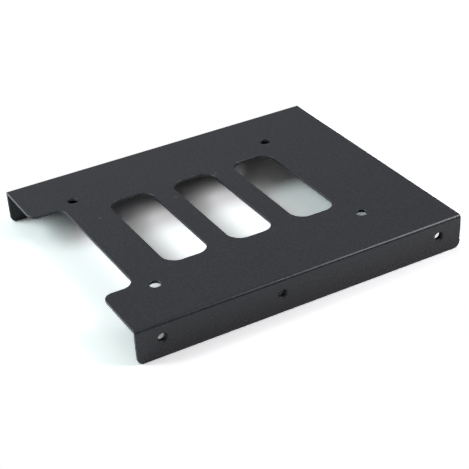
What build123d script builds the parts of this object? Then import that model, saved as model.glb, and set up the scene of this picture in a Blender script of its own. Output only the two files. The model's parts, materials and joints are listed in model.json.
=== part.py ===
"""Drive bay adapter bracket: one sheet of steel, blanked, punched, folded and coated.

It carries a small drive on its plate and is screwed into a larger drive bay by its two flanges.
Sizes are in millimetres. The origin is under the middle of the bracket, at the height of the
flanges' lower edges. X runs along the flanges, away from the notched end, and Z points up.
"""

import os

from build123d import *

# The coated sheet and how it is folded
sheet = 1.0
bend_inside_radius = 0.2
edge_break = 0.08  # soft edge that blanking and coating leave all round the sheet
bracket_width = 100.6  # across the outsides of the two flanges

# Bay screw holes, a row of three tapped collars in each flange
bay_hole_span = 101.6  # first hole to last
bay_hole_step = 41.61  # first hole to the middle one, counted from the notched end
bay_hole_diameter = 2.5
bay_hole_height = 6.75  # above the flange's lower edge
bay_hole_drop = 5.45  # below the top of the plate
bay_hole_end = 8.8  # from the outer holes to the ends of the bracket
collar_height = 0.8  # how far a collar stands out of the flange's inner face
collar_wall = 0.6
collar_entry_radius = 0.9  # round that drawing a collar leaves on the flange's outer face
flange_corner_radius = 2.1
flange_end_taper = 0.25  # how far a flange's end runs in, from the bend to the lower edge

# Notch for the drive's plugs, in the end at -X
notch_width = 55.6
notch_depth = 11.6
notch_root_radius = 4.4
notch_lip_radius = 3.2

# Windows across the plate
window_count = 3
window_width = 15.9  # along X
window_length = 45.6  # along Y
window_corner_radius = 5.1
window_rib = 8.1  # plate left between two windows
notch_bridge = 13.85  # plate left between the notch and the first window

# Drive screw holes, one at each corner of a rectangle on the plate
drive_hole_spacing_x = 76.6
drive_hole_spacing_y = 61.72
drive_hole_diameter = 3.7
drive_hole_setback = 16.7  # from the notched end to the nearer holes

# Nib that the shear left on the plain end of the front flange, just above its rounded corner
nib_radius = 0.4
nib_proud = 0.2

# Sizes and places that follow from the ones above
bracket_length = bay_hole_span + 2 * bay_hole_end
bracket_height = bay_hole_height + bay_hole_drop
bend_outside_radius = bend_inside_radius + sheet
flange_top = bracket_height - bend_outside_radius  # where the bend begins
half_width = bracket_width / 2
half_notch = notch_width / 2
collar_radius = bay_hole_diameter / 2 + collar_wall
notched_end = -bracket_length / 2
plain_end = bracket_length / 2
nib_height = flange_corner_radius + nib_radius
nib_root = plain_end - flange_end_taper * (1 - nib_height / flange_top) ** 2  # end's curve at the nib
notch_root = notched_end + notch_depth
window_pitch = window_width + window_rib
windows_middle = notch_root + notch_bridge + (window_width + (window_count - 1) * window_pitch) / 2
drive_holes_middle = notched_end + drive_hole_setback + drive_hole_spacing_x / 2
first_bay_hole = -bay_hole_span / 2
bay_holes = [
    (first_bay_hole + along, bay_hole_height) for along in (0, bay_hole_step, bay_hole_span)
]
plate_top = Plane.XY.offset(bracket_height)
sharp_turn = 45  # degrees between two faces, past which their shared edge is a sharp one


def sharp_edges(part):
    """Edges where two faces meet at an angle, without the lines where a bend runs into a flat."""
    faces_beside = {}
    for face in part.faces():
        for edge in face.edges():
            faces_beside.setdefault(edge, []).append(face)

    def turn(edge):
        normals = [face.normal_at(edge @ 0.5) for face in faces_beside[edge]]
        return normals[0].get_angle(normals[-1])

    return ShapeList(edge for edge in faces_beside if turn(edge) > sharp_turn)


def notch_corners(part):
    """Upright edges of the notch, grouped from its open end to its root."""
    upright = part.edges().filter_by(Axis.Z)
    return upright.filter_by_position(Axis.Y, -half_notch, half_notch).group_by(Axis.X)


def bay_hole_rims(part):
    """Rims of the bay screw holes on the outsides of the two flanges."""
    rims = part.edges().filter_by(lambda edge: edge.is_closed).group_by(Axis.Y)
    return rims[0] + rims[-1]


with BuildPart() as bracket:
    # The folded section, drawn along its outside and thickened inwards
    with BuildSketch(Plane.YZ):
        with BuildLine():
            FilletPolyline(
                (-half_width, 0),
                (-half_width, bracket_height),
                (half_width, bracket_height),
                (half_width, 0),
                radius=bend_outside_radius,
            )
            offset(amount=sheet, side=Side.RIGHT)
        make_face()
    extrude(amount=bracket_length / 2, both=True)

    # Ends of the flanges, which curve in a little towards the lower edge
    with BuildSketch(Plane.XZ):
        with BuildLine():
            end_curve = TangentArc(
                (plain_end, flange_top), (plain_end - flange_end_taper, 0), tangent=(0, -1)
            )
            Polyline(end_curve @ 1, (plain_end, 0), end_curve @ 0)
        make_face()
        mirror(about=Plane.YZ)
    extrude(amount=half_width, both=True, mode=Mode.SUBTRACT)

    # Rounded lower corners of the flanges
    fillet(bracket.edges().filter_by(Axis.Y).group_by(Axis.Z)[0], flange_corner_radius)

    # Notch, with rounded roots where it stops and rounded lips where it leaves the end
    with BuildSketch(plate_top):
        with Locations((notched_end, 0)):
            Rectangle(2 * notch_depth, notch_width)
    extrude(amount=-sheet, mode=Mode.SUBTRACT)
    fillet(notch_corners(bracket.part)[-1], notch_root_radius)
    fillet(notch_corners(bracket.part)[0], notch_lip_radius)

    # Windows
    with BuildSketch(plate_top):
        with Locations((windows_middle, 0)):
            with GridLocations(window_pitch, 0, window_count, 1):
                RectangleRounded(window_width, window_length, window_corner_radius)
    extrude(amount=-sheet, mode=Mode.SUBTRACT)

    # Drive screw holes
    with Locations(plate_top):
        with Locations((drive_holes_middle, 0)):
            with GridLocations(drive_hole_spacing_x, drive_hole_spacing_y, 2, 2):
                Hole(drive_hole_diameter / 2, sheet)

    # Collars, drawn inwards from the front flange and then from the rear one
    for side in (1, -1):
        with BuildSketch(Plane.XZ.offset(side * (half_width - sheet))):
            with Locations(*bay_holes):
                Circle(collar_radius)
        extrude(amount=-side * collar_height)

    # Bay screw holes, in line through both flanges, with the rounded entries of drawn collars
    with Locations(Plane.XZ):
        with Locations(*bay_holes):
            Hole(bay_hole_diameter / 2)
    fillet(bay_hole_rims(bracket.part), collar_entry_radius)

    # Soft edges on the outline, the windows, the holes and the collars
    chamfer(sharp_edges(bracket.part), edge_break)

    # Nib, on the flat of the cut edge
    with BuildSketch(Plane.XZ.offset(half_width - edge_break)):
        with Locations((nib_root + nib_proud - nib_radius, nib_height)):
            Circle(nib_radius)
    extrude(amount=2 * edge_break - sheet)

bracket.part.label = "bracket"
os.makedirs("parts", exist_ok=True)
export_step(bracket.part, "parts/bracket.step")
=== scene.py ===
import json
import math

import bpy
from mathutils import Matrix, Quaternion, Vector


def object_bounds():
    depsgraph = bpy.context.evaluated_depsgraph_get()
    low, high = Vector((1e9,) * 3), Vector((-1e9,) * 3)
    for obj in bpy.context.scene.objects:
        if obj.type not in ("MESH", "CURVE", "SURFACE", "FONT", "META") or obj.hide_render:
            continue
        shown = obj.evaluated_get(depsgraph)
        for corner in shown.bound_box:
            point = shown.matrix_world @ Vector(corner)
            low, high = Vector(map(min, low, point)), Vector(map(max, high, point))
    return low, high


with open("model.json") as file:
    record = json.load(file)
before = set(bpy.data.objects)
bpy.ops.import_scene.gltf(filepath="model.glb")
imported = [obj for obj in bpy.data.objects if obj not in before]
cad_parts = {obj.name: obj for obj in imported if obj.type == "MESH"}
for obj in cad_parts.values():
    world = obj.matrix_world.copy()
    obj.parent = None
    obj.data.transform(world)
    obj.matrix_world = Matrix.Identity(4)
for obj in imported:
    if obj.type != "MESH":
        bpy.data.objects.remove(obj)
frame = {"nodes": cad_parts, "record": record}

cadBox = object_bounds()  # the bracket's own box, before anything is dressed
mm = 0.001
white = (1, 1, 1, 1)
bracket = frame["nodes"]["bracket"]
mounts = {mount["name"]: mount for mount in frame["record"]["mounts"]}
print("frame loaded:", len(frame["nodes"]), "node")


class Wire:  # a socket that takes part in sums
    def __init__(self, finish, socket):
        self.finish = finish
        self.socket = socket

    def sum(self, operation, first, second):
        return self.finish.add("ShaderNodeMath", {"operation": operation}, {0: first, 1: second})

    def __add__(self, other): return self.sum("ADD", self, other)
    def __radd__(self, other): return self.sum("ADD", other, self)
    def __sub__(self, other): return self.sum("SUBTRACT", self, other)
    def __rsub__(self, other): return self.sum("SUBTRACT", other, self)
    def __mul__(self, other): return self.sum("MULTIPLY", self, other)
    def __rmul__(self, other): return self.sum("MULTIPLY", other, self)
    def __truediv__(self, other): return self.sum("DIVIDE", self, other)
    def __pow__(self, other): return self.sum("POWER", self, other)
    def __lt__(self, other): return self.sum("LESS_THAN", self, other)


class Finish:  # the node tree of one material, or of the world
    def __init__(self, owner):
        owner.use_nodes = True
        self.owner = owner
        self.tree = owner.node_tree
        self.tree.nodes.clear()

    def add(self, kind, settings=None, sockets=None, out=0):
        node = self.tree.nodes.new(kind)
        for name, value in (settings or {}).items():
            setattr(node, name, value)
        for key, value in (sockets or {}).items():
            if isinstance(value, Wire):
                self.tree.links.new(value.socket, node.inputs[key])
            else:
                node.inputs[key].default_value = value
        return Wire(self, node.outputs[out]) if node.outputs else node

    def noise(self, place, size, detail):  # size in mm
        return self.add("ShaderNodeTexNoise", {},
                        {"Vector": place, "Scale": 1 / (size * mm), "Detail": detail})

    def limit(self, value):  # between 0 and 1
        return self.add("ShaderNodeClamp", {}, {"Value": value})

    def blend(self, share, first, second):  # two colours, on the sockets that a Mix keeps for them
        sockets = {0: share, 6: first, 7: second}
        return self.add("ShaderNodeMix", {"data_type": "RGBA"}, sockets, out=2)

    def measure(self, operation, first, second):  # one number from two vectors
        sockets = {0: first, 1: second}
        return self.add("ShaderNodeVectorMath", {"operation": operation}, sockets, out="Value")

    def split(self, vector):
        sockets = {"Vector": vector}
        return [self.add("ShaderNodeSeparateXYZ", {}, sockets, out=axis) for axis in "XYZ"]


def newFinish(name):
    return Finish(bpy.data.materials.new(name))


# black powder coat over the whole sheet
coat = {
    "hollowColour": (0.0205, 0.0213, 0.0268, 1),
    "crestColour": (0.0315, 0.0325, 0.0395, 1),
    "roughness": 0.26,
    "grain": {  # fine texture of the melted powder
        "size": 0.8,  # mm
        "detail": 3,
        "depth": 0.03,  # mm
        "contrast": 3,
        "dullness": 0.1,
    },
    "peel": {  # slow waves that the melt leaves
        "size": 2.6,  # mm
        "detail": 1,
        "depth": 0.012,  # mm
    },
    "cloud": {  # patches a little lighter or duller than the rest
        "size": 20,  # mm
        "detail": 2,
        "contrast": 0.3,
        "dullness": 0.08,
    },
    "edge": {  # sharp edges, painted a lighter grey as a painted highlight along them
        "colour": (0.05, 0.0515, 0.057, 1),
        "reach": 0.3,  # mm
        "samples": 6,
        "gain": 3,
        "leastShare": 0.3,  # of its colour in the hollows of the slow waves
        "dullness": 0.4,
    },
    "skin": {  # glossy skin that the melt leaves on the cut ends of the sheet
        "weight": 0.75,
        "roughness": 0.25,
        "falloff": 8,  # how soon it goes as a face turns away from the bracket's length
    },
    "specks": {  # bits of dust baked into the coat of the plate
        "colour": (0.072, 0.073, 0.079, 1),
        "radius": 0.7,  # mm
        "strength": 1.5,
        "places": ((-40.2, 15.0), (-12.5, 13.2), (6.9, 19.9)),  # mm from the middle of the bracket
    },
    "thread": {  # tapped in the bay screw holes
        "pitch": 0.5,  # mm
        "depth": 0.06,  # mm
        "margin": 0.02,  # mm, how far past the bore's wall the thread still shows
    },
    "entry": {  # rounded mouth of a bay screw hole: painted shade darkens its colour towards the bore, and the coat there is dull
        "colour": (0.009, 0.0095, 0.011, 1),
        "width": 0.9,  # mm, from the bore to the flat of the flange
        "dullness": 0.3,
    },
}
noiseMiddle = 0.5  # a noise swings about this value


def bayHolePlaces():  # mm along the bracket, from the two mounts of the front flange
    places = set()
    for name in ("front_bay_end_holes", "front_bay_middle_pair"):
        half = mounts[name]["dims"]["spacing_x_mm"] / 2
        middle = mounts[name]["pos_m"][0] / mm
        places |= {round(middle - half, 2), round(middle + half, 2)}
    return sorted(places)


# the waves are a right-handed ridge, one pitch a turn; the painted shade in the rounded mouths is 1
# in a bore and 0 on the flat
def boreMasks(paint, place):
    thread, entry = coat["thread"], coat["entry"]
    along, deep, up = paint.split(place)
    hole = mounts["front_bay_end_holes"]
    bore = hole["dims"]["hole_r_mm"]
    rise = up - hole["pos_m"][2]
    waves, mouthShade = 0.0, 0.0
    for holePlace in bayHolePlaces():
        side = along - holePlace * mm
        apart = (side ** 2 + rise ** 2) ** 0.5
        turn = side.sum("ARCTAN2", side, rise) / (2 * math.pi)
        winding = deep / (thread["pitch"] * mm) - turn
        ridge = winding.sum("PINGPONG", winding, 0.5)  # up for half a pitch, then down
        waves = waves + (apart < (bore + thread["margin"]) * mm) * ridge
        # painted shade: full at the bore, gone where the mouth meets the flat of the flange
        inward = (bore + entry["width"]) * mm - apart
        mouthShade = mouthShade + paint.limit(inward / (entry["width"] * mm))
    return waves, mouthShade


def speckMask(paint, place):
    specks = coat["specks"]
    strength = specks["strength"]
    mask = 0.0
    for x, y in specks["places"]:
        spot = (x * mm, y * mm, cadBox[1][2])
        apart = paint.measure("DISTANCE", place, spot)
        mask = mask + paint.limit(strength - strength * apart / (specks["radius"] * mm))
    return mask


def edgeMask(paint, facing):  # 0 on the flats and along the bends, up to 1 at a sharp edge
    edge = coat["edge"]
    rounded = paint.add("ShaderNodeBevel", {"samples": edge["samples"]},
                        {"Radius": edge["reach"] * mm})
    same = paint.measure("DOT_PRODUCT", rounded, facing)
    return paint.limit((1 - same) * edge["gain"])


def powderCoat():
    paint = newFinish("blackPowderCoat")
    place = paint.add("ShaderNodeTexCoord", out="Object")
    facing = paint.add("ShaderNodeNewGeometry", out="Normal")
    edge, skin, entry = coat["edge"], coat["skin"], coat["entry"]
    grain, peel, cloud = [paint.noise(place, coat[layer]["size"], coat[layer]["detail"])
                          for layer in ("grain", "peel", "cloud")]
    grainSwing, cloudSwing = grain - noiseMiddle, cloud - noiseMiddle
    edges = edgeMask(paint, facing)
    edgeHighlightShare = edges * (edge["leastShare"] + (1 - edge["leastShare"]) * peel)
    cutEnds = paint.split(facing)[0] ** skin["falloff"]  # 1 on faces square to the bracket's length
    waves, mouthShade = boreMasks(paint, place)

    tone = paint.limit(noiseMiddle + grainSwing * coat["grain"]["contrast"]
                       + cloudSwing * coat["cloud"]["contrast"])
    colour = paint.blend(tone, coat["hollowColour"], coat["crestColour"])
    # painted highlight along the sharp edges
    colour = paint.blend(edgeHighlightShare, colour, edge["colour"])
    colour = paint.blend(speckMask(paint, place), colour, coat["specks"]["colour"])
    # painted shade in the mouths of the bay screw holes
    colour = paint.blend(mouthShade, colour, entry["colour"])
    roughness = (coat["roughness"] + cloudSwing * coat["cloud"]["dullness"]
                 + grainSwing * coat["grain"]["dullness"]
                 + mouthShade * entry["dullness"] + edges * edge["dullness"])
    height = (grain * coat["grain"]["depth"] + peel * coat["peel"]["depth"]
              + waves * coat["thread"]["depth"])
    bump = paint.add("ShaderNodeBump", {}, {"Height": height, "Distance": mm, "Strength": 1.0})

    shell = paint.add("ShaderNodeBsdfPrincipled", {}, {
        "Base Color": colour,
        "Roughness": roughness,
        "Coat Weight": cutEnds * skin["weight"],
        "Coat Roughness": skin["roughness"],
        "Normal": bump,
    })
    paint.add("ShaderNodeOutputMaterial", {}, {"Surface": shell})
    return paint.owner


bracket.data.materials.clear()
bracket.data.materials.append(powderCoat())
print("powder coat on the bracket, thread in", len(bayHolePlaces()), "holes a flange")

# white table that the bracket stands on
table = {
    "reach": 1500,  # mm from the middle to its edges
    "colour": (0.8, 0.8, 0.8, 1),
    "seenColour": (1.57, 1.57, 1.57, 1),  # to the camera, so that the lit table is white
    "shadowReach": {"left": 22, "right": 14, "front": 20, "rear": 12},  # mm, plain white past it
    "backdropFade": 8,  # mm
}


def paperFinish():
    paper = newFinish("whitePaper")
    seen = paper.add("ShaderNodeLightPath", out="Is Camera Ray")
    tint = paper.blend(seen, table["colour"], table["seenColour"])
    matte = paper.add("ShaderNodeBsdfDiffuse", {}, {"Color": tint})

    along, deep = paper.split(paper.add("ShaderNodeTexCoord", out="Object"))[:2]
    (leftEnd, front), (rightEnd, rear) = [corner[:2] for corner in cadBox]
    reach = table["shadowReach"]
    past = [leftEnd - reach["left"] * mm - along, along - rightEnd - reach["right"] * mm,
            front - reach["front"] * mm - deep, deep - rear - reach["rear"] * mm]
    far = 0.0
    for way in past:
        far = far + paper.limit(way / (table["backdropFade"] * mm))
    plain = paper.add("ShaderNodeEmission", {}, {"Color": white, "Strength": 1.0})
    surface = paper.add("ShaderNodeMixShader", {}, {0: seen * paper.limit(far), 1: matte, 2: plain})

    # the table is clear from below, so that the underside of the bracket can be seen
    below = paper.add("ShaderNodeNewGeometry", out="Backfacing")
    clear = paper.add("ShaderNodeBsdfTransparent")
    surface = paper.add("ShaderNodeMixShader", {}, {0: seen * below, 1: surface, 2: clear})
    paper.add("ShaderNodeOutputMaterial", {}, {"Surface": surface})
    return paper.owner


def layTable():
    reach = table["reach"] * mm
    floorHeight = cadBox[0][2]
    corners = [(-reach, -reach, floorHeight), (reach, -reach, floorHeight),
               (reach, reach, floorHeight), (-reach, reach, floorHeight)]
    mesh = bpy.data.meshes.new("table")
    mesh.from_pydata(corners, [], [(0, 1, 2, 3)])
    mesh.materials.append(paperFinish())
    sheet = bpy.data.objects.new("table", mesh)
    bpy.context.scene.collection.objects.link(sheet)


layTable()
print("table laid")

# soft boxes to the left and right of the bracket, as the camera sees it
softBoxes = {
    "leftSoftBox": {
        "bearing": 150,  # degrees from the bracket's length, +X, towards its rear flange, +Y
        "height": 36.6,  # degrees above the table
        "distance": 669,  # mm
        "width": 388,  # mm
        "depth": 343,  # mm
        "level": 0.59,  # how bright a white sheet that faces it looks
        "colour": (0.88, 1.025, 1.015),
    },
    "rightSoftBox": {
        "bearing": 331,
        "height": 42.3,
        "distance": 544,
        "width": 340,
        "depth": 240,
        "level": 0.52,
        "colour": (1.01, 0.99, 1.01),
    },
}


def hangSoftBoxes():
    for name, box in softBoxes.items():
        bearing = math.radians(box["bearing"])
        height = math.radians(box["height"])
        outward = Vector((math.cos(height) * math.cos(bearing),
                          math.cos(height) * math.sin(bearing), math.sin(height)))
        distance = box["distance"] * mm
        data = bpy.data.lights.new(name, "AREA")
        data.shape = "RECTANGLE"
        data.size = box["width"] * mm
        data.size_y = box["depth"] * mm
        data.energy = box["level"] * (math.pi * distance) ** 2
        data.color = box["colour"]
        holder = bpy.data.objects.new(name, data)
        holder.location = outward * distance
        holder.rotation_mode = "QUATERNION"
        holder.rotation_quaternion = outward.to_track_quat("Z", "Y")
        bpy.context.scene.collection.objects.link(holder)


hangSoftBoxes()
print("soft boxes hung:", len(softBoxes))

# light of the room, which the camera sees as plain white
room = {
    "ceilingLevel": 0.45,
    "ceilingFalloff": 2,
    "rearWallLevel": 0.35,
    "rearWallFalloff": 3,
    "shadowLevel": 0.04,  # light that comes from everywhere else
}


def lightRoom():
    world = bpy.data.worlds.new("room")
    bpy.context.scene.world = world
    air = Finish(world)
    way = air.add("ShaderNodeTexCoord", out="Generated")  # which way the ray points
    rearward, upward = air.split(way)[1:]
    ceiling = air.limit(upward) ** room["ceilingFalloff"] * room["ceilingLevel"]
    rearWall = air.limit(rearward) ** room["rearWallFalloff"] * room["rearWallLevel"]
    level = room["shadowLevel"] + ceiling + rearWall
    seen = air.add("ShaderNodeLightPath", out="Is Camera Ray")
    strength = level + seen * (1 - level)
    backdrop = air.add("ShaderNodeBackground", {}, {"Color": white, "Strength": strength})
    air.add("ShaderNodeOutputWorld", {}, {"Surface": backdrop})


lightRoom()
bpy.context.scene.view_settings.view_transform = "Standard"
print("room lit")

# camera at the photograph's own place
photoCamera = {
    "eye": (-181.66, -337.13, 232.36),  # mm
    "aim": (-3.27, -10.42, 6.0),  # mm, a point in the middle of the picture
    "roll": -2.846,  # degrees, about the line of sight
    "focalPixels": 1310.9,
    "picturePixels": 469,
    "sensor": 36,  # mm
    "nearest": 10,  # mm, what is nearer isn't drawn
    "farthest": 10000,  # mm
}


def setCamera():
    data = bpy.data.cameras.new("photoCamera")
    data.sensor_width = photoCamera["sensor"]
    data.lens = photoCamera["focalPixels"] / photoCamera["picturePixels"] * photoCamera["sensor"]
    data.clip_start = photoCamera["nearest"] * mm
    data.clip_end = photoCamera["farthest"] * mm
    camera = bpy.data.objects.new("photoCamera", data)
    eye = Vector(photoCamera["eye"]) * mm
    look = (Vector(photoCamera["aim"]) * mm - eye).to_track_quat("-Z", "Y")
    roll = Quaternion((0, 0, 1), math.radians(photoCamera["roll"]))
    camera.location = eye
    camera.rotation_mode = "QUATERNION"
    camera.rotation_quaternion = look @ roll
    bpy.context.scene.collection.objects.link(camera)
    bpy.context.scene.camera = camera


setCamera()
print("camera set")
